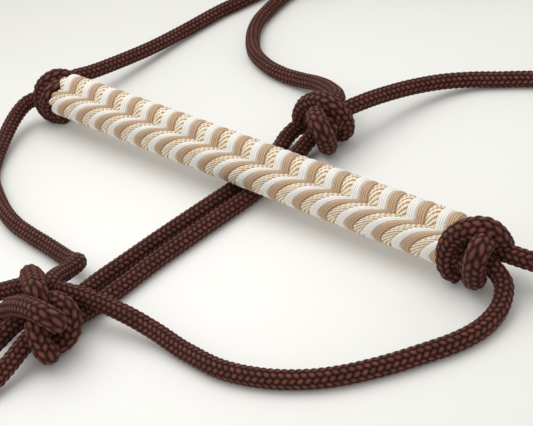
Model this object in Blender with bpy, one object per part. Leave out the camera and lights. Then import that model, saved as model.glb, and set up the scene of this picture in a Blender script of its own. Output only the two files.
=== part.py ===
"""Rope halter laid out on a table: one long cord knotted into nose, throat, fiador and cheek knots, with flat
cords wrapped round its noseband. Lengths are millimetres in the lists below and metres in the scene. +X runs along the
noseband from the off side to the near side, +Y towards the poll and +Z up from the table."""

import math

import bmesh
import bpy
from mathutils import Vector

MM = 0.001
ROPE = 6.35                       # diameter of the halter cord
LAY = 3.2                         # height of the axis of a rope lying on the table
GAP = 0.5                         # clearance where one solid meets the next
LAYOUT_CENTRE = Vector((14.2, 46.3, 0.0))   # middle of the whole layout, which becomes the origin

BAND_START = -110.0               # the flat cords wrap the noseband along X between these two
BAND_END = 103.6
BAND_HEIGHT_OFF = 14.6            # middle of the noseband above the table at its two ends
BAND_HEIGHT_NEAR = 12.9
BAND_ROLL = 28.0                  # degrees that the band is rolled, with its poll edge up
CORE_OFFSET = 4.2                 # each noseband core lies this far from the band's middle line
WRAP_PERIOD = 12.9                # the three cords repeat over this length
CHIN_LEAN = 15.0                  # how far a cord slants back as it wraps down over the chin core
CHIN_BEND = 1.43                  # above 1, most of that slant comes near the valley between the cores
POLL_LEAN = 2.0                   # and over the poll core
WRAP_CORD = 1.2                   # diameter that stands for the flat decorative cord
WRAP_RADIUS = 4.35                # of a cord's path round a core
WRAP_ANGLES = (130, 100, 70, 40, 10, -20, -55, -90)   # from the valley over the top, outside and under a core
VALLEY_HEIGHT = 2.9               # of a cord's path above the band's middle, between the cores

COIL_CENTRE = Vector((-55.0, 216.0, 0.0))
COIL_INNER = 31.6                 # the crown strap's coil: inner and outer radius and height
COIL_OUTER = 44.8
COIL_HEIGHT = 12.8

SMOOTH_STEP = 1.0                 # spacing of the points read from a smooth route
TUBE_STEP = 8.0                   # spacing of the points kept on a tube
END_BALL_STEPS = 4                # rings that round off a hinged rope end
RIM_SAMPLES = 8

ROPE_BROWN = (0.085, 0.030, 0.024)
CORD_WHITE = (0.80, 0.77, 0.70)
CORD_TAN = (0.56, 0.37, 0.22)
CORD_GOLD = (0.62, 0.40, 0.14)

# Knots: centre X, Y, then the half lengths along, across and up, then the turn about Z in degrees.
KNOTS = {
    "nose_knot_off": ((-122.0, 0.0), (10.8, 12.5, 12.2), 0.0),
    "nose_knot_near": ((116.0, -1.0), (11.0, 12.5, 12.2), 0.0),
    "throat_knot": ((6.0, 40.0), (11.5, 12.0, 10.8), 0.0),
    "fiador_knot": ((22.0, -95.0), (17.0, 10.0, 13.0), -29.2),
    "cheek_knot_off": ((-120.0, 152.0), (11.0, 12.0, 10.5), 0.0),
    "cheek_knot_near": ((128.0, 150.0), (11.5, 11.0, 10.5), 0.0),
    "crown_end_knot": ((-91.0, 168.0), (12.0, 9.5, 9.0), 20.0),
}
KNOT_SINK = 0.9                   # a knot's middle is this share of its half height above the table
KNOT_SEGMENTS = 16
KNOT_RINGS = 10

# Rope routes from knot to knot, as points on the rope's axis.
ROUTES = {
    "chin_rope_off": [
        (-125, -4, 10), (-127, -9, 9), (-123.5, -18, 7), (-115, -30, 4.5), (-106, -40, LAY), (-96, -48, LAY),
        (-84, -54, LAY), (-68, -60.5, LAY), (-55, -64, LAY), (-42, -65.5, LAY), (-28.5, -66.5, LAY),
        (-13, -68.5, 4.2), (-4, -70.5, 7.5), (0.3, -78, 9.5), (2.3, -84, 11), (4, -88, 12)],
    "chin_rope_near": [
        (117, 0, 10.5), (125, -2, 9), (130, -4, 6.6), (133.5, -9, 4.7), (135.5, -15, 3.6), (136, -23, LAY),
        (134, -31.5, LAY), (129.5, -41, LAY), (124, -51, LAY), (116.5, -61.5, LAY), (107.5, -69.7, LAY),
        (96, -76, LAY), (82, -79.8, LAY), (65.5, -80, LAY), (51, -79.5, 4.5), (39.5, -80.7, 8),
        (28.6, -82.3, 11), (21, -85, 13), (14, -87.5, 14), (10, -90, 14)],
    "jaw_strand_off": [
        (12, -87, 6), (8, -78, 4), (6, -70, LAY), (5, -58, LAY), (3.6, -42.5, LAY), (2.2, -20.5, LAY),
        (1.2, -3.5, LAY), (-1.5, 12, LAY), (-4.5, 23, 3.6), (-7.5, 31, 4.8), (-6, 37, 7)],
    "jaw_strand_near": [
        (20, -90, 5.5), (19, -83, 4), (17.5, -76, LAY), (16, -65, LAY), (14, -50, LAY), (12.3, -28.5, LAY),
        (10.8, -6, LAY), (8, 12, LAY), (5, 23, 3.6), (3.8, 30, 5), (4.2, 34, 7)],
    "throat_rope_off": [
        (3, 48, 13), (-2, 54, 12), (-13.8, 61, 9), (-27, 66, 6), (-39, 68, 4), (-51.5, 69, LAY), (-64.5, 71.5, LAY),
        (-80, 78, LAY), (-93, 88.5, LAY), (-102, 99, LAY), (-107.5, 110, LAY), (-111.5, 121, LAY),
        (-114.5, 133, 4), (-117, 144, 7)],
    "throat_rope_near": [
        (10, 45, 13), (11, 54, 12.5), (11.3, 65, 10.5), (13.2, 78, 8), (17.5, 90, 5.6), (24.8, 99.4, 3.8),
        (34.5, 105.5, LAY), (45, 111, LAY), (56, 116, LAY), (70, 122.5, LAY), (84, 129.5, LAY), (98, 137, LAY),
        (110, 144, 4.5), (120, 149, 8)],
    "cheek_rope_off": [
        (-124, 6, 12), (-123.5, 15, 11.6), (-123, 23.5, 10), (-124, 37.5, 7.8), (-126, 57, 5.2), (-128.5, 77.5, 3.6),
        (-129.8, 98, LAY), (-128.5, 112, LAY), (-127, 126, LAY), (-125, 138, 4), (-122, 147, 7)],
    "cheek_rope_near": [
        (118, 3, 12), (127.5, 4, 11.2), (135, 7, 9.6), (144, 12, 7.6), (152, 21, 5.4), (157, 34, 3.8), (158, 50, LAY),
        (156, 68, LAY), (152, 86, LAY), (147, 104, LAY), (141, 121, LAY), (135, 135, 4), (130, 146, 7)],
    "crown_strand_a": [
        (-124, 158, 6), (-124.5, 168, 3.8), (-124, 178, LAY), (-117, 189, LAY), (-106, 198, LAY),
        (-98, 208, LAY), (-96, 220, LAY)],
    "crown_strand_b": [
        (-116, 158, 6), (-116, 167, 3.8), (-114, 176, LAY), (-107, 184, LAY), (-97, 191, LAY),
        (-90, 201, LAY), (-89, 214, LAY)],
    "crown_tail_a": [
        (-57, 174.5, 9.6), (-62, 173.2, 8.6), (-68, 171, 6.8), (-74, 168.5, 5.6), (-80, 166.5, 5.6), (-86, 165.5, 6.4)],
    "crown_tail_b": [
        (-64, 180.6, 9.6), (-70, 178.5, 9.6), (-76, 175.8, 8.8), (-81, 173.4, 7.8), (-85, 171.6, 7.4), (-89, 170, 7.2)],
}

# Loops that lift off the table: their two ends sit on the hinge axis.
LOOPS = {
    "lead_loop_outer": [
        (-8, -94, 8), (-17, -99, 6.8), (-27, -110, 4.5), (-34, -124, 3.4), (-37, -138, LAY), (-34, -151, LAY),
        (-26, -161, LAY), (-15, -165, LAY), (-3, -163, LAY), (8, -156, LAY), (17, -147, LAY), (23, -137, 3.4),
        (26, -128, 4.5), (27, -120, 6.3), (26, -113, 8)],
    "lead_loop_inner": [
        (3, -100.1, 8), (0, -107, 6.5), (-5, -115, 4.5), (-11, -123, 3.4), (-16, -131, LAY), (-17, -139, LAY),
        (-12, -146, LAY), (-4, -147, LAY), (3, -141, LAY), (7, -133, 3.4), (10, -124, 4.4), (12, -115, 6),
        (13, -105.7, 8)],
    "tie_loop": [
        (121, 165.2, LAY), (118, 173, LAY), (114, 183, LAY), (112, 194, LAY), (114, 205, LAY), (121, 213, LAY),
        (130, 214, LAY), (138, 208, LAY), (142, 197, LAY), (141, 186, LAY), (137, 175, LAY), (133, 165.2, LAY)],
}


def clear_scene():
    for obj in list(bpy.data.objects):
        bpy.data.objects.remove(obj)


def plain_material(name, colour, roughness):
    material = bpy.data.materials.new(name)
    material.use_nodes = True
    shader = material.node_tree.nodes["Principled BSDF"]
    shader.inputs["Base Color"].default_value = (*colour, 1.0)
    shader.inputs["Roughness"].default_value = roughness
    shader.inputs["Metallic"].default_value = 0.0
    return material


def smooth_curve(points, step=SMOOTH_STEP):
    """Points about one step apart on a smooth curve through the given points, none of it under the table."""
    knots = [Vector(point) for point in points]
    knots = [2 * knots[0] - knots[1], *knots, 2 * knots[-1] - knots[-2]]
    smooth = []
    for before, start, end, after in zip(knots, knots[1:], knots[2:], knots[3:]):
        count = max(1, round((end - start).length / step))
        for i in range(count):
            t = i / count
            smooth.append(0.5 * (2 * start + (end - before) * t
                                 + (2 * before - 5 * start + 4 * end - after) * t ** 2
                                 + (3 * start - before - 3 * end + after) * t ** 3))
    return [Vector((point.x, point.y, max(point.z, LAY))) for point in [*smooth, knots[-2]]]


def inside_knot(point, knot, margin):
    (x, y), (along, across, up), turn = KNOTS[knot]
    offset = point - Vector((x, y, up * KNOT_SINK))
    angle = math.radians(turn)
    u = offset.x * math.cos(angle) + offset.y * math.sin(angle)
    v = offset.y * math.cos(angle) - offset.x * math.sin(angle)
    return (u / (along + margin)) ** 2 + (v / (across + margin)) ** 2 + (offset.z / (up + margin)) ** 2 < 1


def inside_coil(point, margin):
    distance = (point - COIL_CENTRE).xy.length
    return COIL_INNER - margin < distance < COIL_OUTER + margin and point.z < COIL_HEIGHT + margin


def rim(point, along, radius):
    """Points round the edge of the flat end of a rope."""
    side = along.cross(Vector((0, 0, 1))).normalized()
    up = side.cross(along)
    angles = [2 * math.pi * i / RIM_SAMPLES for i in range(RIM_SAMPLES)]
    return [point, *(point + radius * (math.cos(a) * side + math.sin(a) * up) for a in angles)]


def meets_solid(point, along, radius):
    return any(inside_coil(sample, GAP) or any(inside_knot(sample, knot, GAP) for knot in KNOTS)
               for sample in rim(point, along, radius))


def trimmed(route, radius):
    """The longest stretch of the route that is clear of every knot and of the coil."""
    best, run = [], []
    for point, following in zip(route, route[1:]):
        if meets_solid(point, following - point, radius):
            run = []
        else:
            run.append(point)
        if len(run) > len(best):
            best = list(run)
    return best


def thinned(route, step):
    """Every few points of a route, its two ends among them."""
    count = max(2, round(len(route) * SMOOTH_STEP / step))
    return [route[round(i * (len(route) - 1) / count)] for i in range(count + 1)]


def tube(name, route, diameter, material, sides=2, ball_ends=False):
    """A closed tube along the route. Ball ends are half spheres centred on the route's two ends."""
    radius = diameter / 2
    rings = [(point, 1.0) for point in route]
    if ball_ends:
        def ball(end, outward):
            angles = [math.pi / 2 * i / END_BALL_STEPS for i in range(1, END_BALL_STEPS)]
            return [(end + outward * radius * math.sin(a), math.cos(a)) for a in angles]
        head = ball(route[0], (route[0] - route[1]).normalized())
        tail = ball(route[-1], (route[-1] - route[-2]).normalized())
        rings = [*reversed(head), *rings, *tail]
    data = bpy.data.curves.new(name, "CURVE")
    data.dimensions = "3D"
    data.bevel_depth = radius * MM
    data.bevel_resolution = sides
    data.use_fill_caps = True
    spline = data.splines.new("POLY")
    spline.points.add(len(rings) - 1)
    for point, (place, width) in zip(spline.points, rings):
        point.co = (*((place - LAYOUT_CENTRE) * MM), 1.0)
        point.radius = width
    data.materials.append(material)
    obj = bpy.data.objects.new(name, data)
    bpy.context.scene.collection.objects.link(obj)
    return obj


def mesh_object(name, mesh_data, material):
    mesh = bpy.data.meshes.new(name)
    bmesh.ops.recalc_face_normals(mesh_data, faces=mesh_data.faces)
    mesh_data.to_mesh(mesh)
    mesh_data.free()
    mesh.materials.append(material)
    mesh.shade_smooth()
    mesh.set_sharp_from_angle(angle=math.radians(50))
    obj = bpy.data.objects.new(name, mesh)
    bpy.context.scene.collection.objects.link(obj)
    return obj


def knot(name, material):
    """A rounded lump with a flat foot on the table."""
    (x, y), (along, across, up), turn = KNOTS[name]
    body = bmesh.new()
    bmesh.ops.create_uvsphere(body, u_segments=KNOT_SEGMENTS, v_segments=KNOT_RINGS, radius=1.0)
    bmesh.ops.scale(body, vec=Vector((along, across, up)) * MM, verts=body.verts)
    foot = -up * KNOT_SINK * MM
    cut = bmesh.ops.bisect_plane(body, geom=body.verts[:] + body.edges[:] + body.faces[:],
                                 plane_co=(0, 0, foot), plane_no=(0, 0, -1), clear_outer=True)
    edges = [item for item in cut["geom_cut"] if isinstance(item, bmesh.types.BMEdge)]
    bmesh.ops.edgeloop_fill(body, edges=edges)
    obj = mesh_object(name, body, material)
    obj.location = (Vector((x, y, up * KNOT_SINK)) - LAYOUT_CENTRE) * MM
    obj.rotation_euler.z = math.radians(turn)
    return obj


def crown_coil(material):
    """The outer shape of the coiled crown strap: a ring with rounded edges."""
    corner = 2.4
    profile = [
        (COIL_INNER + corner, 0), (COIL_OUTER - corner, 0), (COIL_OUTER, corner),
        (COIL_OUTER, COIL_HEIGHT - corner), (COIL_OUTER - corner, COIL_HEIGHT),
        (COIL_INNER + corner, COIL_HEIGHT), (COIL_INNER, COIL_HEIGHT - corner), (COIL_INNER, corner)]
    segments = 40
    ring = bmesh.new()
    loops = []
    for i in range(segments):
        angle = 2 * math.pi * i / segments
        loops.append([ring.verts.new((r * math.cos(angle) * MM, r * math.sin(angle) * MM, z * MM))
                      for r, z in profile])
    for i in range(segments):
        here, there = loops[i], loops[(i + 1) % segments]
        for j in range(len(profile)):
            k = (j + 1) % len(profile)
            ring.faces.new((here[j], there[j], there[k], here[k]))
    obj = mesh_object("crown_coil", ring, material)
    obj.location = (COIL_CENTRE - LAYOUT_CENTRE) * MM


def band_point(x, across, above):
    """A point of the sloping, rolled noseband, from its place across the band and above the band's middle."""
    roll = math.radians(BAND_ROLL)
    share = (x - BAND_START) / (BAND_END - BAND_START)
    middle = BAND_HEIGHT_OFF + share * (BAND_HEIGHT_NEAR - BAND_HEIGHT_OFF)
    return Vector((x, across * math.cos(roll) - above * math.sin(roll),
                   middle + across * math.sin(roll) + above * math.cos(roll)))


def wrap_places():
    """One turn round both cores, from one valley to the next, as (share of the way, across, above)."""
    chin, poll = [], []
    for degrees in WRAP_ANGLES:
        angle = math.radians(degrees)
        across = CORE_OFFSET + WRAP_RADIUS * math.cos(angle)
        above = WRAP_RADIUS * math.sin(angle)
        chin.append((-across, above))
        poll.append((across, above))
    return [(0.0, VALLEY_HEIGHT), *chin, *reversed(poll)]


def wrap_route(phase):
    """A cord's way round the two cores: from the valley slantwise over the chin core, straight on under both,
    and up over the poll core into the next valley."""
    places = wrap_places()
    outside = WRAP_ANGLES.index(10) + 1
    last = len(places) - outside
    valley = BAND_START + CHIN_LEAN + phase * WRAP_PERIOD
    route = []
    while valley + WRAP_PERIOD < BAND_END:
        for i, (across, above) in enumerate(places):
            down = min(i / outside, 1.0)
            under = min(max((i - outside) / (last - outside), 0.0), 1.0)
            up = max((i - last) / outside, 0.0)
            x = (valley - CHIN_LEAN * (1 - (1 - down) ** CHIN_BEND)
                 + (CHIN_LEAN + WRAP_PERIOD - POLL_LEAN) * under + POLL_LEAN * up)
            route.append(band_point(x, across, above))
        valley += WRAP_PERIOD
    return route


def noseband(brown, cord_materials):
    for name, side in (("noseband_core_poll", 1), ("noseband_core_chin", -1)):
        ends = [band_point(x, side * CORE_OFFSET, 0.0) for x in (-118, -4, 112)]
        tube(name, thinned(trimmed(smooth_curve(ends), ROPE / 2), TUBE_STEP), ROPE, brown)
    for order, (name, material) in enumerate(cord_materials.items()):
        tube(name, wrap_route(order / len(cord_materials)), WRAP_CORD, material, sides=0)


def main():
    clear_scene()
    brown = plain_material("halter_rope", ROPE_BROWN, 0.85)
    cord_materials = {
        "braid_cord_gold": plain_material("braid_gold", CORD_GOLD, 0.5),
        "braid_cord_white": plain_material("braid_white", CORD_WHITE, 0.7),
        "braid_cord_tan": plain_material("braid_tan", CORD_TAN, 0.7),
    }
    for name in KNOTS:
        knot(name, brown)
    for name, points in ROUTES.items():
        route = trimmed(smooth_curve(points), ROPE / 2)
        tube(name, thinned(route, TUBE_STEP), ROPE, brown)
    for name, points in LOOPS.items():
        tube(name, thinned(smooth_curve(points), TUBE_STEP), ROPE, brown, ball_ends=True)
    crown_coil(brown)
    noseband(brown, cord_materials)


main()
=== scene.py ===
"""Looks of the rope halter: the braided sheath of its ropes, the knots, the flat-cord noseband, materials,
studio light and camera. Lists of points are in millimetres in the layout the model was drawn in, whose middle
is LAYOUT_CENTRE. Pieces are in metres in the frame's own coordinates."""

import math

import bpy
import numpy as np
from mathutils import Matrix, Vector

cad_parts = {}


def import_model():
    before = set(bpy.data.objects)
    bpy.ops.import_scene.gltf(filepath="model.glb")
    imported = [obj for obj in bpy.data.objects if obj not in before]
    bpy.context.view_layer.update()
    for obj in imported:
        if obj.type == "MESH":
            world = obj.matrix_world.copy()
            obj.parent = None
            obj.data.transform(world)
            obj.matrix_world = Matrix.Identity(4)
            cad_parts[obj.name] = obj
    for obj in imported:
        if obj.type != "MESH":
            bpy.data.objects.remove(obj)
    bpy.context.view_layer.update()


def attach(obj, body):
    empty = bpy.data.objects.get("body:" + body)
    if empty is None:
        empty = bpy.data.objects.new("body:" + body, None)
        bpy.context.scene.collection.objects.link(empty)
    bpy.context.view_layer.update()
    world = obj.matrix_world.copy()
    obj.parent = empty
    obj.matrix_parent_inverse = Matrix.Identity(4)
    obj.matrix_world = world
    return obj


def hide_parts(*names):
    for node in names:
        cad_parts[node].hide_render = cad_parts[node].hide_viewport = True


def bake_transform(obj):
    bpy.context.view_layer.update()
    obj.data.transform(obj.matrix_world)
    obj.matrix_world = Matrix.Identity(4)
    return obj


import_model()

MM = 0.001
ROPE = 6.35                       # diameter of the halter rope
LAY = 3.2                         # height of the axis of a rope lying on the table
LAYOUT_CENTRE = np.array((14.2, 46.3, 0.0))

# Braided sheath of the rope
CARRIERS = 10                     # strands of the sheath that run each way round
STITCH_PITCH = 2.30               # length of rope from one stitch to the next
STITCH_DEPTH = 0.75               # from the top of a stitch to the crevice beside it
STITCH_WIDE = 0.68                # half width and half length of a stitch, in strands
STITCH_LONG = 1.0
ROPE_STEP = 0.36                  # spacing of the rings of a rope's mesh
ROPE_SIDES = 56
END_LENGTH = 2.4                  # length over which a rope's hidden end is rounded off

# Noseband: three flat cords wrapped side by side round two cores
BAND_START = -110.0
BAND_END = 103.6
BAND_HEIGHT_OFF = 14.6            # middle of the noseband above the table at its two ends
BAND_HEIGHT_NEAR = 12.9
BAND_ROLL = 28.0                  # degrees that the band is rolled, with its poll edge up
CORE_OFFSET = 4.2
WRAP_PERIOD = 12.9                # the three cords repeat over this length
CHIN_LEAN = 15.0                  # how far a cord slants back as it wraps down over the chin core
CHIN_BEND = 1.43                  # above 1, most of that slant comes near the valley between the cores
POLL_LEAN = 2.0                   # and over the poll core
WRAP_RADIUS = 3.85
WRAP_LIMITS = (-110.5, 110.5)     # places along X where the flat cords end
CORE_ENDS = (-118.0, 114.0)       # and where the cores end, inside the knots
WRAP_PINCH = 0.6                  # the band is squeezed to this share of its size where its cords end
PINCH_LENGTH = 4.0                # over this length
WRAP_TOP = 125.0                  # degrees round a core at which a cord leaves it for the valley
VALLEY_ANGLE = 165.0              # place of the valley on the same scale
VALLEY_HEIGHT = 2.3
WRAP_STEPS = 56                   # rings of a cord on each core
CORD_STEP = 0.64                  # spacing of the rings of a flat cord's mesh
CORD_HALF_WIDTH = 2.17
CORD_HALF_THICK = 1.25
CORD_SIDES = 48
CORD_RIBS = 5
RIB_HEIGHT = 0.15

# The crown strap's coil: its two strands lie side by side, in two layers.
COIL_CENTRE = np.array((-55.0, 216.0))
COIL_TURNS = 1.75
COIL_CLIMB = (300.0, 350.0)       # degrees of the first turn over which the strand climbs to the second layer

KNOT_STEP = 1.0                   # spacing of points while a knot is drawn tight
KNOT_ROUNDS = 90
KNOT_CLEARANCE = 5.8              # distance that strands keep, a little less than a rope as they squeeze
KNOT_PUSH = 0.05                  # share of the overlap that each round pushes away
KNOT_FIXED = 6.0                  # points at each end of a strand that are pushed less
KNOT_ANCHOR = 0.30                # pull of each point back to its own place
KNOT_EASE = 0.14                  # smoothing in each round
STRAND_SHIFT = 1.3                # offset of the sheath's pattern from one strand of a knot to the next
KNOT_SWELL = 1.2                  # a rope bent hard in a knot bulges this much

ROUTES = {
    "chin_rope_off": [
        (-120, -1, 10), (-125, -4, 10), (-127, -9, 9), (-123.5, -18, 7), (-115, -30, 4.5), (-106, -40, LAY),
        (-96, -48, LAY), (-84, -54, LAY), (-68, -60.5, LAY), (-55, -64, LAY), (-42, -65.5, LAY),
        (-28.5, -66.5, LAY), (-13, -68.5, 4.2), (-4, -70.5, 7.5), (0.3, -78, 9.5), (3.2, -83, 11.5),
        (7, -88, 13.4), (10.5, -92, 13.5)],
    "chin_rope_near": [
        (113, 2, 10.5), (119, -0.5, 10.4), (125, -2, 9), (130, -4, 6.6), (133.5, -9, 4.7),
        (135.5, -15, 3.6), (136, -23, LAY), (134, -31.5, LAY), (129.5, -41, LAY), (124, -51, LAY),
        (116.5, -61.5, LAY), (107.5, -69.7, LAY), (96, -76, LAY), (82, -79.8, LAY), (65.5, -80, LAY),
        (51, -79.5, 4.5), (39.5, -80.7, 7), (28.6, -82.3, 8.6), (20, -84.5, 10), (12, -87, 11),
        (5, -89.5, 11.6), (-1, -91.8, 11.5)],
    "jaw_strand_off": [
        (10, -90, 6), (9, -84, 4.6), (7.6, -77, 3.6), (6, -70, LAY), (5, -58, LAY), (3.6, -42.5, LAY),
        (2.2, -20.5, LAY), (1.2, -3.5, LAY), (-1.5, 12, LAY), (-4.5, 23, 3.6), (-7.5, 31, 4.8), (-6, 37, 7),
        (-1, 41, 9)],
    "jaw_strand_near": [
        (22, -97, 6), (20.5, -90, 5), (19, -83, 4), (17.5, -76, LAY), (16, -65, LAY), (14, -50, LAY),
        (12.3, -28.5, LAY), (10.8, -6, LAY), (8, 12, LAY), (5, 23, 3.6), (3.8, 30, 5), (4.2, 35, 7),
        (6, 41, 9)],
    "throat_rope_off": [
        (6, 43, 12), (3, 48, 13), (-2, 54, 12), (-13.8, 61, 9), (-27, 66, 6), (-39, 68, 4),
        (-51.5, 69, LAY), (-64.5, 71.5, LAY), (-80, 78, LAY), (-93, 88.5, LAY), (-102, 99, LAY),
        (-107.5, 110, LAY), (-111.5, 121, LAY), (-114.5, 133, 4), (-117, 144, 7), (-117, 150, 8)],
    "throat_rope_near": [
        (8, 40, 11), (10, 45, 13), (11, 54, 12.5), (11.3, 65, 10.5), (13.2, 78, 8), (17.5, 90, 5.6),
        (24.8, 99.4, 3.8), (34.5, 105.5, LAY), (45, 111, LAY), (56, 116, LAY), (70, 122.5, LAY),
        (84, 129.5, LAY), (98, 137, LAY), (110, 144, 4.5), (120, 149, 8), (126, 151, 9)],
    "cheek_rope_off": [
        (-119, 2, 11.5), (-122, 8, 12), (-123.5, 15, 11.6), (-123, 23.5, 10), (-124, 37.5, 7.8),
        (-126, 57, 5.2), (-128.5, 77.5, 3.6), (-129.8, 98, LAY), (-128.5, 112, LAY), (-127, 126, LAY),
        (-125, 138, 4), (-122, 147, 7), (-121, 152, 8.5)],
    "cheek_rope_near": [
        (114, 3, 12), (120, 3.6, 12), (127.5, 4.6, 11.2), (135, 7, 9.6), (144, 12, 7.6), (152, 21, 5.4),
        (157, 34, 3.8), (158, 50, LAY), (156, 68, LAY), (152, 86, LAY), (147, 104, LAY), (141, 121, LAY),
        (135, 135, 4), (130, 146, 7), (129, 151, 8.5)],
}

# The crown strap's two strands: the way in to the coil, and the way out to the end knot.
CROWN_IN = {
    "crown_strand_a": [(-122, 152, 8), (-124, 158, 6), (-124.5, 168, 3.8), (-124, 178, LAY), (-117, 189, LAY),
                       (-106, 198, LAY), (-99, 207, LAY)],
    "crown_strand_b": [(-117, 152, 8), (-116, 158, 6), (-116, 167, 3.8), (-114, 176, LAY), (-107, 184, LAY),
                       (-97, 193, LAY), (-91.5, 204, LAY)],
}
CROWN_OUT = {
    "crown_strand_a": [(-62, 173.2, 8.6), (-68, 171, 6.8), (-74, 168.5, 5.6), (-80, 166.5, 5.6),
                       (-86, 165.5, 6.4), (-91, 166, 7)],
    "crown_strand_b": [(-64, 180.6, 9.6), (-70, 178.5, 9.6), (-76, 175.8, 8.8), (-81, 173.4, 7.8),
                       (-85, 171.6, 7.4), (-91, 169, 7.4)],
}
COIL_RADIUS = {"crown_strand_a": 41.3, "crown_strand_b": 34.9}

LOOPS = {
    "lead_loop_outer": [
        (0, -91.5, 11.5), (-4.5, -93.2, 10.6), (-10, -96, 8.8), (-17, -100, 6.8), (-27, -110, 4.5),
        (-34, -124, 3.4), (-37, -138, LAY), (-34, -151, LAY), (-26, -161, LAY), (-15, -165, LAY),
        (-3, -163, LAY), (8, -156, LAY), (17, -147, LAY), (23, -137, 3.4), (25, -128, 4), (24, -120, 5.6),
        (22.5, -113, 7.4), (21, -106, 9)],
    "lead_loop_inner": [
        (6, -97, 9), (3, -100.1, 8), (0, -107, 6.5), (-5, -115, 4.5), (-11, -123, 3.4), (-16, -131, LAY),
        (-17, -139, LAY), (-12, -146, LAY), (-4, -147, LAY), (3, -141, LAY), (7, -133, 3.4),
        (10, -124, 4.6), (11, -115, 7), (11.5, -108, 9.4), (13, -102, 10.5)],
    "tie_loop": [
        (122, 154, 8), (121.5, 160, 5), (121, 165.2, 3.4), (118, 173, LAY), (114, 183, LAY),
        (112, 194, LAY), (114, 205, LAY), (121, 213, LAY), (130, 214, LAY), (138, 208, LAY),
        (142, 197, LAY), (141, 186, LAY), (137, 175, LAY), (133, 165.2, 3.4), (132, 160, 5), (130, 154, 8)],
}

# Turns of rope that show on the outside of each knot. Their ends lie inside the knot.
WRAPS = {
    "nose_knot_off": [
        [(-120, 9.5, 8.5), (-117.5, 8.8, 13), (-115.3, 5.3, 17), (-116.1, 2.8, 18.5), (-117.7, 0.1, 18),
         (-120.3, -1.7, 15.5), (-121.7, -2.9, 11.5), (-121.6, -3.3, 7.5), (-119.5, -2.5, 4.8),
         (-116.4, -1.4, 3.6), (-111, 1, 3.4)],
        [(-117, 7, 10), (-114.4, 4.2, 14), (-110.7, -1.2, 16.5), (-111.1, -4.1, 15.5), (-113.8, -4.8, 12),
         (-116, -4.4, 8), (-116.5, -1, 5)],
    ],
    "nose_knot_near": [
        [(112, -3, 3.4), (108.6, -5, 5.2), (108.6, -5.6, 10.5), (110.1, -4.8, 15), (112.6, -3.7, 18.5),
         (116.1, -2.2, 20.8), (119.7, -0.2, 21), (122.5, 1.7, 19), (122.7, 4.4, 15), (120.9, 7, 10),
         (116, 7.6, 7)],
        [(117, 4, 13), (120.6, 0, 17), (122.9, -3, 18.5), (124.9, -7.6, 18.5), (124.3, -9, 15.5),
         (122.9, -8.5, 11.5), (121.4, -7, 7.6), (117, -4, 4.5), (112, -0.5, 3.3)],
    ],
    "throat_knot": [
        [(-3, 42.5, 4), (-6.2, 39.5, 5.6), (-6.2, 38.3, 9), (-3.5, 38.1, 14), (0.6, 38.6, 17.5),
         (5, 39.4, 19), (9.9, 39.8, 18.5), (12.4, 41.3, 15.5), (12.8, 42.9, 11), (12, 43.6, 7.5),
         (10.4, 43.4, 5.2), (5, 44, 3.4)],
        [(2, 41, 9), (6, 36.4, 14.5), (10.5, 32.2, 17), (15.4, 28.8, 17), (17.5, 28.2, 14.5),
         (16.3, 29.9, 10), (14.6, 31.6, 6.4), (9, 36, 3.8)],
    ],
    "fiador_knot": [
        [(4, -88, 6), (0.6, -89, 11), (2.8, -92, 17), (9.3, -95.1, 19.5), (15.8, -98.2, 20.5),
         (19.2, -99.7, 19.5), (18.6, -99.3, 15), (15, -97.5, 11)],
        [(8, -99, 6), (4.3, -103.7, 10.5), (9.6, -104.5, 14), (17.1, -105.1, 17.5), (24.3, -105.4, 19.5),
         (31, -105.4, 19.8), (33.7, -103.8, 17.5), (29.7, -101.5, 14), (24, -99, 10)],
        [(12, -95.6, 10.5), (17, -95.4, 13), (21.2, -95, 14.5), (25.1, -94.7, 14), (27.4, -95.2, 12),
         (28.1, -96.6, 8.8), (27.7, -98.7, 5.6), (25, -102, 3.9), (18, -104, 3.4)],
        [(20, -100, 11), (25, -106.4, 13.4), (28.1, -108.2, 13), (30, -108.8, 9), (30.6, -108, 5.8),
         (25, -104.5, 3.6)],
    ],
}

# Short strands inside each knot, which fill it
FILLINGS = {
    "nose_knot_off": [[(-121, 5, 7), (-117, 2, 12), (-112, -1, 9)]],
    "nose_knot_near": [[(111, -1, 8), (116, 1, 14), (121, 0, 10)],
                       [(112, -3, 6), (117, -3, 10), (121, -3, 13)],
                       [(110, -2.5, 6), (111, -1.5, 11), (114, 0, 16)]],
    "throat_knot": [[(-3, 40, 7), (3, 38, 13), (10, 38, 12), (13, 38, 8)],
                    [(0, 44, 6), (6, 41, 10), (12, 34, 9)]],
    "fiador_knot": [[(4, -92, 9), (12, -98, 14), (22, -101, 14), (28, -102, 9)],
                    [(6, -100, 6), (14, -101, 9), (24, -103, 8)]],
}

# Knots out of the main view are tied like the throat knot: its middle, and each one's middle and turn.
PATTERN_KNOT = ("throat_knot", (4.0, 41.0))
TIED_LIKE_IT = {
    "cheek_knot_off": ((-120.0, 153.0), 0.0),
    "cheek_knot_near": ((127.0, 151.0), 0.0),
    "crown_end_knot": ((-91.0, 168.0), 110.0),
}

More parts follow.
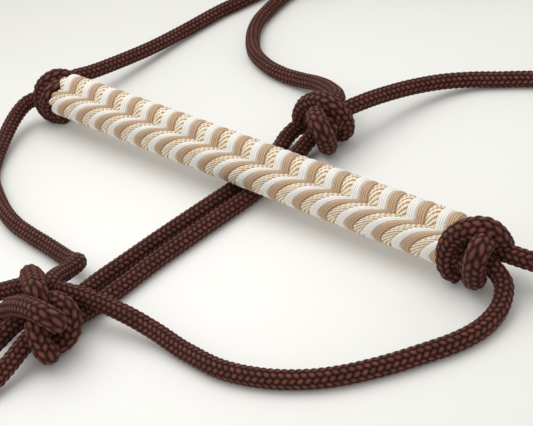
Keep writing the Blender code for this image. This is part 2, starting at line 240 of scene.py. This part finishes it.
# Linear colours
# Braided rope: painted shade in the crevices between stitches, the rope's own brown, and a painted highlight
# on the tops of stitches
ROPE_PAINTED_SHADE = (0.006, 0.0018, 0.0012)
ROPE_BODY = (0.060, 0.0165, 0.0118)
ROPE_PAINTED_HIGHLIGHT = (0.185, 0.064, 0.048)
# Flat cords: their own colour on the ribs, and painted shade in the grooves between ribs
WHITE_TOP = (0.93, 0.92, 0.88)
WHITE_PAINTED_GROOVE_SHADE = (0.62, 0.57, 0.48)
TAN_TOP = (0.60, 0.42, 0.27)
TAN_PAINTED_GROOVE_SHADE = (0.26, 0.145, 0.07)
GOLD_THREAD = (0.48, 0.25, 0.045)
GOLD_PALE = (0.85, 0.80, 0.68)
# Table: the paper's own colour in the middle of a painted pool of light, and painted shade towards the edges
FLOOR_MIDDLE = (0.88, 0.875, 0.85)
FLOOR_PAINTED_FALLOFF = (0.62, 0.62, 0.58)
FLOOR_PAINTED_POOL_MIDDLE = (20.0, -60.0, 0.0)
FLOOR_PAINTED_FADE = 320.0                # distance over which the painted light falloff darkens the table, mm
WORLD_COLOUR = (1.0, 0.995, 0.98)


# Lines and meshes

def smooth_line(points, step):
    """Points about one step apart on a smooth curve through the given points, none of it under the table."""
    knots = np.array(points, float)
    knots = np.vstack([2 * knots[0] - knots[1], knots, 2 * knots[-1] - knots[-2]])
    found = []
    for before, start, end, after in zip(knots, knots[1:], knots[2:], knots[3:]):
        count = max(2, math.ceil(np.linalg.norm(end - start) / (step / 2)))
        t = (np.arange(count) / count)[:, None]
        found.append(0.5 * (2 * start + (end - before) * t
                            + (2 * before - 5 * start + 4 * end - after) * t ** 2
                            + (3 * start - before - 3 * end + after) * t ** 3))
    line = np.vstack([*found, knots[-2:-1]])
    line[:, 2] = np.maximum(line[:, 2], LAY)
    return evenly(line, step)


def lengths_along(line):
    """Distance along the line to each of its points."""
    return np.concatenate([[0.0], np.cumsum(np.linalg.norm(np.diff(line, axis=0), axis=1))])


def evenly(line, step):
    along = lengths_along(line)
    at = np.linspace(0.0, along[-1], max(3, round(along[-1] / step) + 1))
    return np.stack([np.interp(at, along, line[:, axis]) for axis in range(3)], axis=1)


def softened(line, rounds):
    """The line with small kinks smoothed out, its ends kept."""
    line = line.copy()
    for _ in range(rounds):
        line[1:-1] += 0.25 * (line[:-2] + line[2:] - 2 * line[1:-1])
    return line


def ring_frames(line):
    """Two unit vectors across the line at each point, carried along it without twist."""
    tangents = np.gradient(line, axis=0)
    tangents /= np.linalg.norm(tangents, axis=1)[:, None]
    side = np.cross(tangents[0], (0.0, 0.0, 1.0))
    sides = []
    for tangent in tangents:
        side = side - tangent * side.dot(tangent)
        side = side / np.linalg.norm(side)
        sides.append(side)
    sides = np.array(sides)
    return sides, np.cross(tangents, sides)


def grid_faces(rings, sides):
    """Quads joining each ring of a tube to the next."""
    ring = np.arange(rings - 1)[:, None] * sides
    here = np.arange(sides)[None, :]
    there = (here + 1) % sides
    corners = [ring + here, ring + there, ring + sides + there, ring + sides + here]
    return np.stack([corner.reshape(-1) for corner in corners], axis=1)


def mesh_piece(name, tubes, material):
    """One object from several tubes, each a dict of its ring points and the values its material reads."""
    points = np.concatenate([tube["points"].reshape(-1, 3) for tube in tubes])
    faces, first = [], 0
    for tube in tubes:
        rings, sides = tube["points"].shape[:2]
        faces.append(grid_faces(rings, sides) + first)
        first += rings * sides
    faces = np.concatenate(faces)
    mesh = bpy.data.meshes.new(name)
    mesh.vertices.add(len(points))
    mesh.vertices.foreach_set("co", ((points - LAYOUT_CENTRE) * MM).ravel())
    mesh.loops.add(faces.size)
    mesh.loops.foreach_set("vertex_index", faces.ravel())
    mesh.polygons.add(len(faces))
    mesh.polygons.foreach_set("loop_start", np.arange(0, faces.size, 4))
    mesh.update(calc_edges=True)
    mesh.validate()
    for value in tubes[0]["values"]:
        stored = mesh.attributes.new(value, "FLOAT", "POINT")
        stored.data.foreach_set("value", np.concatenate([tube["values"][value].ravel() for tube in tubes]))
    mesh.shade_smooth()
    mesh.materials.append(material)
    obj = bpy.data.objects.new(name, mesh)
    bpy.context.scene.collection.objects.link(obj)
    return obj


# Rope

def stitch_pattern(along, around):
    """Of the braided sheath: height of a stitch from 0 to 1, a number that tells it from its neighbours, and
    the place across it. Each strand passes over two strands of the other family and then under two."""
    s = along / STITCH_PITCH + CARRIERS * around / (2 * math.pi)
    t = along / STITCH_PITCH - CARRIERS * around / (2 * math.pi)
    height, across, key = np.full_like(s, -1.0), np.zeros_like(s), np.zeros_like(s)
    for family, (place, run, first) in enumerate(((s, t, 0.0), (t, s, 3.0))):
        for reach in (-0.25, 0.25):
            lane = np.floor(place + reach)
            off_lane = place - lane - 0.5
            centre = lane + first + 4 * np.round((run - lane - first) / 4)
            bump = 1 - (off_lane / STITCH_WIDE) ** 2 - ((run - centre) / STITCH_LONG) ** 2
            higher = bump > height
            height = np.where(higher, bump, height)
            across = np.where(higher, off_lane + 0.5, across)
            difference = (lane - centre) * (1 - 2 * family) % (2 * CARRIERS)
            key = np.where(higher, (lane + centre) * 12.9898 + difference * 78.233 + family * 37.719, key)
    tone = np.modf(np.abs(np.sin(key) * 437.585))[0]
    return np.sqrt(np.clip(height, 0, 1)), tone, across


def rope_tube(line, start=0.0, swell=1.0):
    """Rings of a rope along a line, with its ends rounded off."""
    line = evenly(line, ROPE_STEP)
    along = lengths_along(line)
    sides, ups = ring_frames(line)
    around = np.linspace(0, 2 * math.pi, ROPE_SIDES, endpoint=False)
    height, tone, across = stitch_pattern((start + along)[:, None], around[None, :])
    to_end = np.minimum(along, along[-1] - along)
    closing = np.sqrt(np.clip(1 - np.clip(1 - to_end / END_LENGTH, 0, 0.999) ** 2, 0, 1))
    radius = swell * (ROPE / 2 - STITCH_DEPTH * (1 - height)) * closing[:, None]
    outward = (np.cos(around)[None, :, None] * sides[:, None, :]
               + np.sin(around)[None, :, None] * ups[:, None, :])
    points = line[:, None, :] + radius[:, :, None] * outward
    return {"points": points, "line": line, "values": {"relief": height, "tone": tone, "across": across}}


def to_frame(line):
    return (line - LAYOUT_CENTRE) * MM


def free_ropes(material):
    for name, points in ROUTES.items():
        tube = rope_tube(smooth_line(points, ROPE_STEP))
        piece = mesh_piece(name + "_braided", [tube], material)
        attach(piece, "halter")
        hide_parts(name)


def coil_line(radius):
    """A strand's way round the coil, clockwise from its left side: one layer on the table and one on top."""
    degrees = np.arange(0.0, COIL_TURNS * 360.0, 4.0)
    climb = np.interp(degrees, COIL_CLIMB, (0.0, 1.0))
    climb = climb * climb * (3 - 2 * climb)
    angle = np.radians(degrees)
    return np.stack([COIL_CENTRE[0] - radius * np.cos(angle), COIL_CENTRE[1] + radius * np.sin(angle),
                     LAY + 2 * LAY * climb], axis=1)


def crown_strap(material):
    for name, way_in in CROWN_IN.items():
        points = [*way_in, *coil_line(COIL_RADIUS[name])[1:-1], *CROWN_OUT[name]]
        tube = rope_tube(softened(smooth_line(points, ROPE_STEP), 8))
        piece = mesh_piece(name + "_braided", [tube], material)
        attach(piece, "halter")
        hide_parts(name, "crown_coil", name.replace("strand", "tail"))


def loops(material):
    for name, points in LOOPS.items():
        tube = rope_tube(smooth_line(points, ROPE_STEP))
        piece = mesh_piece(name + "_braided", [tube], material)
        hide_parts(name)
        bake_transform(piece)


# Knots

def drawn_tight(wraps):
    """The wraps smoothed and pushed apart where they come too close, each staying near its own place."""
    lines = [smooth_line(points, KNOT_STEP) for points in wraps]
    first = [line.copy() for line in lines]
    for _ in range(KNOT_ROUNDS):
        moved = []
        for k, line in enumerate(lines):
            others = [other for m, other in enumerate(lines) if m != k]
            apart = line[:, None, :] - np.concatenate(others)[None, :, :]
            distance = np.linalg.norm(apart, axis=2)
            deficit = np.clip(KNOT_CLEARANCE - distance, 0, None)
            direction = apart / np.maximum(distance, 0.01)[:, :, None]
            push = (direction * deficit[:, :, None]).sum(axis=1) * KNOT_PUSH
            to_end = np.minimum(np.arange(len(line)), np.arange(len(line))[::-1])
            push *= np.clip(to_end / KNOT_FIXED, 0, 1)[:, None]
            eased = line + push + KNOT_ANCHOR * (first[k] - line)
            eased[1:-1] += KNOT_EASE * (eased[:-2] + eased[2:] - 2 * eased[1:-1])
            eased[:, 2] = np.maximum(eased[:, 2], LAY)
            moved.append(eased)
        lines = moved
    return lines


def turned(wraps, middle, new_middle, degrees):
    angle = math.radians(degrees)
    cos, sin = math.cos(angle), math.sin(angle)
    spin = np.array(((cos, -sin, 0), (sin, cos, 0), (0, 0, 1)))
    shift = np.array((*middle, 0.0))
    return [[tuple(spin @ (np.array(point) - shift) + np.array((*new_middle, 0.0))) for point in wrap]
            for wrap in wraps]


def knots(material):
    pattern, middle = PATTERN_KNOT
    wraps, fillings = dict(WRAPS), dict(FILLINGS)
    for name, (place, degrees) in TIED_LIKE_IT.items():
        wraps[name] = turned(WRAPS[pattern], middle, place, degrees)
        fillings[name] = turned(FILLINGS[pattern], middle, place, degrees)
    for name in wraps:
        lines = drawn_tight(wraps[name]) + [smooth_line(points, KNOT_STEP) for points in fillings[name]]
        tubes = [rope_tube(softened(evenly(line, ROPE_STEP), 6), start=STRAND_SHIFT * k, swell=KNOT_SWELL)
                 for k, line in enumerate(lines)]
        piece = mesh_piece(name + "_tied", tubes, material)
        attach(piece, "halter")
        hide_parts(name)


# Noseband

def band_point(x, across, above):
    """Points of the sloping, rolled noseband, from their places across it and above its middle."""
    roll = math.radians(BAND_ROLL)
    middle = np.interp(x, (BAND_START, BAND_END), (BAND_HEIGHT_OFF, BAND_HEIGHT_NEAR))
    return np.stack([x, across * math.cos(roll) - above * math.sin(roll),
                     middle + across * math.sin(roll) + above * math.cos(roll)], axis=-1)


def wrap_turn():
    """One turn of a flat cord round both cores, from one valley to the next: how far along the band it has
    come at each point, and the point's places across and above."""
    degrees = np.linspace(WRAP_TOP, -90.0, WRAP_STEPS)
    angle = np.radians(degrees)
    across = CORE_OFFSET + WRAP_RADIUS * np.cos(angle)
    above = WRAP_RADIUS * np.sin(angle)
    down = np.clip((VALLEY_ANGLE - degrees) / VALLEY_ANGLE, 0, 1)
    chin = -CHIN_LEAN * (1 - (1 - down) ** CHIN_BEND)
    poll = WRAP_PERIOD - POLL_LEAN * down
    under = np.clip(-degrees / 180.0, 0, 1)
    under = under * under * (3 - 2 * under)
    chin += (poll[-1] - chin[-1]) * under
    poll -= (WRAP_PERIOD - POLL_LEAN + CHIN_LEAN) * under
    along = np.concatenate([[0.0], chin, poll[::-1]])
    return (along, np.concatenate([[0.0], -across, across[::-1]]),
            np.concatenate([[VALLEY_HEIGHT], above, above[::-1]]))


def cord_line(phase):
    """The middle line of a flat cord, wrapped round both cores from one knot to the other."""
    along, across, above = wrap_turn()
    first = BAND_START + CHIN_LEAN - (2 - phase) * WRAP_PERIOD
    valleys = np.arange(first, BAND_END + 2 * WRAP_PERIOD, WRAP_PERIOD)
    x = (valleys[:, None] + along[None, :]).ravel()
    low, high = WRAP_LIMITS
    squeezed = (low, low + PINCH_LENGTH, high - PINCH_LENGTH, high)
    pinch = np.interp(x, squeezed, (WRAP_PINCH, 1, 1, WRAP_PINCH))
    line = band_point(x, pinch * np.tile(across, len(valleys)), pinch * np.tile(above, len(valleys)))
    line = softened(evenly(line, CORD_STEP), 3)
    line[:, 0] = np.clip(line[:, 0], *WRAP_LIMITS)
    return line


def cord_tube(phase):
    line = cord_line(phase)
    along = lengths_along(line)
    slope = np.gradient(line, axis=0)
    slope[:, 0] = 0
    slope /= np.linalg.norm(slope, axis=1)[:, None]
    through = np.cross((1.0, 0.0, 0.0), slope)
    around = np.linspace(0, 2 * math.pi, CORD_SIDES, endpoint=False)
    across = (np.cos(around) + 1) / 2
    ribs = 1 + RIB_HEIGHT * np.cos(2 * math.pi * CORD_RIBS * across) / CORD_HALF_THICK
    lift = CORD_HALF_THICK * np.sign(np.sin(around)) * np.abs(np.sin(around)) ** 0.9 * ribs
    widthwise = CORD_HALF_WIDTH * np.cos(around)[None, :, None] * np.array((1.0, 0.0, 0.0))
    points = line[:, None, :] + widthwise + lift[None, :, None] * through[:, None, :]
    shape = (len(line), CORD_SIDES)
    values = {"across": np.broadcast_to(across, shape), "along": np.broadcast_to(along[:, None], shape)}
    return {"points": points, "line": line, "values": values}


def noseband(rope_material, cord_materials):
    for name, side in (("noseband_core_poll", 1), ("noseband_core_chin", -1)):
        x = np.linspace(*CORE_ENDS, 3)
        tube = rope_tube(band_point(x, np.full_like(x, side * CORE_OFFSET), np.zeros_like(x)))
        piece = mesh_piece(name + "_braided", [tube], rope_material)
        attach(piece, "halter")
        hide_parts(name)
    for order, (name, (slot, material)) in enumerate(cord_materials.items()):
        piece = mesh_piece(name + "_flat", [cord_tube(order / len(cord_materials))], material)
        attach(piece, "halter")
        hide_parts(name)


# Materials

class Shader:
    """A material's node tree, with short calls for the nodes used here."""

    def __init__(self, name, roughness, sheen, specular, sheen_roughness=0.4):
        self.material = bpy.data.materials.new(name)
        self.material.use_nodes = True
        self.nodes = self.material.node_tree.nodes
        self.links = self.material.node_tree.links
        self.shader = self.nodes["Principled BSDF"]
        self.shader.inputs["Roughness"].default_value = roughness
        self.shader.inputs["Sheen Weight"].default_value = sheen
        self.shader.inputs["Sheen Roughness"].default_value = sheen_roughness
        self.shader.inputs["Specular IOR Level"].default_value = specular

    def attribute(self, name):
        node = self.nodes.new("ShaderNodeAttribute")
        node.attribute_name = name
        return node.outputs["Fac"]

    def math(self, operation, first, second=0.0, third=0.0):
        node = self.nodes.new("ShaderNodeMath")
        node.operation = operation
        for socket, value in zip(node.inputs, (first, second, third)):
            if isinstance(value, float):
                socket.default_value = value
            else:
                self.links.new(value, socket)
        return node.outputs["Value"]

    def noise(self, scale, detail=2.0):
        place = self.nodes.new("ShaderNodeTexCoord")
        node = self.nodes.new("ShaderNodeTexNoise")
        node.inputs["Scale"].default_value = scale
        node.inputs["Detail"].default_value = detail
        self.links.new(place.outputs["Object"], node.inputs["Vector"])
        return node.outputs["Fac"]

    def ramp(self, value, *stops):
        node = self.nodes.new("ShaderNodeValToRGB")
        while len(node.color_ramp.elements) < len(stops):
            node.color_ramp.elements.new(1.0)
        for element, (place, colour) in zip(node.color_ramp.elements, stops):
            element.position = place
            element.color = (*colour, 1.0)
        self.links.new(value, node.inputs["Fac"])
        return node.outputs["Color"]

    def brightened(self, colour, factor):
        node = self.nodes.new("ShaderNodeHueSaturation")
        self.links.new(colour, node.inputs["Color"])
        self.links.new(factor, node.inputs["Value"])
        return node.outputs["Color"]

    def bump(self, height, strength, distance):
        node = self.nodes.new("ShaderNodeBump")
        node.inputs["Strength"].default_value = strength
        node.inputs["Distance"].default_value = distance
        self.links.new(height, node.inputs["Height"])
        self.links.new(node.outputs["Normal"], self.shader.inputs["Normal"])

    def finish(self, colour):
        self.links.new(colour, self.shader.inputs["Base Color"])
        return self.material


def rope_material():
    made = Shader("braided_rope", roughness=0.6, sheen=0.02, specular=0.12)
    # Painted shade in the crevices and a painted highlight on the stitch tops, both set by each stitch's
    # height
    colour = made.ramp(made.attribute("relief"), (0.12, ROPE_PAINTED_SHADE), (0.7, ROPE_BODY), (1.0, ROPE_PAINTED_HIGHLIGHT))
    filaments = made.math("SINE", made.math("MULTIPLY", made.attribute("across"), 31.4))
    fuzz = made.noise(1500.0, 3.0)
    factor = made.math("MULTIPLY_ADD", made.attribute("tone"), 0.40, 0.52)
    factor = made.math("MULTIPLY_ADD", filaments, 0.10, factor)
    factor = made.math("MULTIPLY_ADD", fuzz, 0.70, factor)
    colour = made.brightened(colour, factor)
    made.bump(made.math("MULTIPLY_ADD", filaments, 0.35, fuzz), strength=0.8, distance=0.00025)
    return made.finish(colour)


def rib_height(made):
    return made.math("COSINE", made.math("MULTIPLY", made.attribute("across"), 2 * math.pi * CORD_RIBS))


def twist(made, slant, period):
    """Diagonal lines of the threads' twist along a flat cord, period millimetres apart."""
    turn = made.math("MULTIPLY_ADD", made.attribute("along"), 2 * math.pi / period,
                     made.math("MULTIPLY", made.attribute("across"), slant))
    return made.math("SINE", turn)


def ribbed_material(name, painted_groove_shade, top):
    made = Shader(name, roughness=0.55, sheen=0.1, specular=0.35)
    ribs = rib_height(made)
    # Painted shade in the grooves between ribs, the cord's own colour on the ribs
    colour = made.ramp(made.math("MULTIPLY_ADD", ribs, 0.5, 0.5), (0.0, painted_groove_shade), (0.6, top), (1.0, top))
    soft = made.noise(900.0)
    colour = made.brightened(colour, made.math("MULTIPLY_ADD", soft, 0.16, 0.92))
    made.bump(made.math("MULTIPLY_ADD", twist(made, 40.0, 1.1), 0.25, ribs), strength=0.5, distance=0.00010)
    return made.finish(colour)


def gold_material():
    made = Shader("gold_flecked_cord", roughness=0.45, sheen=0.1, specular=0.45)
    flecks = twist(made, 16.0, 1.85)
    drift = made.noise(420.0)
    colour = made.ramp(made.math("MULTIPLY_ADD", flecks, 0.5, drift), (0.5, GOLD_PALE), (0.85, GOLD_THREAD))
    made.bump(made.math("MULTIPLY_ADD", flecks, 0.5, rib_height(made)), strength=0.5, distance=0.00010)
    return made.finish(colour)


def floor_material():
    """Pale paper with a painted pool of light: painted shade darkens it away from the pool's middle."""
    made = Shader("pale_table", roughness=0.8, sheen=0.0, specular=0.2)
    place = made.nodes.new("ShaderNodeTexCoord")
    distance = made.nodes.new("ShaderNodeVectorMath")
    distance.operation = "DISTANCE"
    distance.inputs[1].default_value = tuple(to_frame(np.array(FLOOR_PAINTED_POOL_MIDDLE)))
    made.links.new(place.outputs["Object"], distance.inputs[0])
    share = made.math("DIVIDE", distance.outputs["Value"], FLOOR_PAINTED_FADE * MM)
    return made.finish(made.ramp(share, (0.12, FLOOR_MIDDLE), (1.0, FLOOR_PAINTED_FALLOFF)))


# Studio

CAMERA_PLACE = (422.2, -291.2, 278.1)
CAMERA_TARGET = (25.5, -9.8, 3.2)
CAMERA_ROLL = -13.14              # degrees
CAMERA_LENS = 108.07
LIGHT_PLACE = (-380.0, 80.0, 900.0)
LIGHT_SIZE = 1.1
LIGHT_POWER = 4.9
FILL_PLACE = (700.0, -700.0, 650.0)
FILL_SIZE = 1.2
FILL_POWER = 0.6
WORLD_STRENGTH = 0.82
FLOOR_SIZE = 6.0


def aimed(obj, place, target, roll=0.0):
    """Turns obj to look from place at target, both in layout millimetres."""
    place, target = to_frame(np.array(place)), to_frame(np.array(target))
    forward = Vector(target - place).normalized()
    level = forward.cross(Vector((0, 0, 1))).normalized()
    facing = Matrix((level, level.cross(forward), -forward)).transposed()
    turn = Matrix.Rotation(math.radians(roll), 3, "Z")
    obj.matrix_world = Matrix.Translation(place) @ (facing @ turn).to_4x4()


def camera():
    data = bpy.data.cameras.new("camera")
    data.lens = CAMERA_LENS
    data.sensor_width = 36.0
    data.clip_start = 0.01
    data.clip_end = 20.0
    data.dof.use_dof = False
    obj = bpy.data.objects.new("camera", data)
    bpy.context.scene.collection.objects.link(obj)
    aimed(obj, CAMERA_PLACE, CAMERA_TARGET, CAMERA_ROLL)
    bpy.context.scene.camera = obj


def area_light(name, place, size, power):
    data = bpy.data.lights.new(name, "AREA")
    data.shape = "DISK"
    data.size = size
    data.energy = power
    obj = bpy.data.objects.new(name, data)
    bpy.context.scene.collection.objects.link(obj)
    aimed(obj, place, (0.0, 0.0, 0.0))


def floor():
    mesh = bpy.data.meshes.new("floor")
    half = FLOOR_SIZE / 2
    corners = [(-half, -half, 0), (half, -half, 0), (half, half, 0), (-half, half, 0)]
    mesh.from_pydata(corners, [], [(0, 1, 2, 3)])
    mesh.materials.append(floor_material())
    obj = bpy.data.objects.new("floor", mesh)
    bpy.context.scene.collection.objects.link(obj)


def world():
    made = bpy.data.worlds.new("studio")
    made.use_nodes = True
    background = made.node_tree.nodes["Background"]
    background.inputs["Color"].default_value = (*WORLD_COLOUR, 1.0)
    background.inputs["Strength"].default_value = WORLD_STRENGTH
    bpy.context.scene.world = made
    bpy.context.scene.view_settings.view_transform = "Standard"


camera()
rope = rope_material()
free_ropes(rope)
crown_strap(rope)
loops(rope)
knots(rope)
noseband(rope, {
    "braid_cord_gold": ("braid_gold", gold_material()),
    "braid_cord_white": ("braid_white", ribbed_material("white_flat_cord", WHITE_PAINTED_GROOVE_SHADE, WHITE_TOP)),
    "braid_cord_tan": ("braid_tan", ribbed_material("tan_flat_cord", TAN_PAINTED_GROOVE_SHADE, TAN_TOP)),
})
floor()
area_light("softbox", LIGHT_PLACE, LIGHT_SIZE, LIGHT_POWER)
area_light("fill", FILL_PLACE, FILL_SIZE, FILL_POWER)
world()
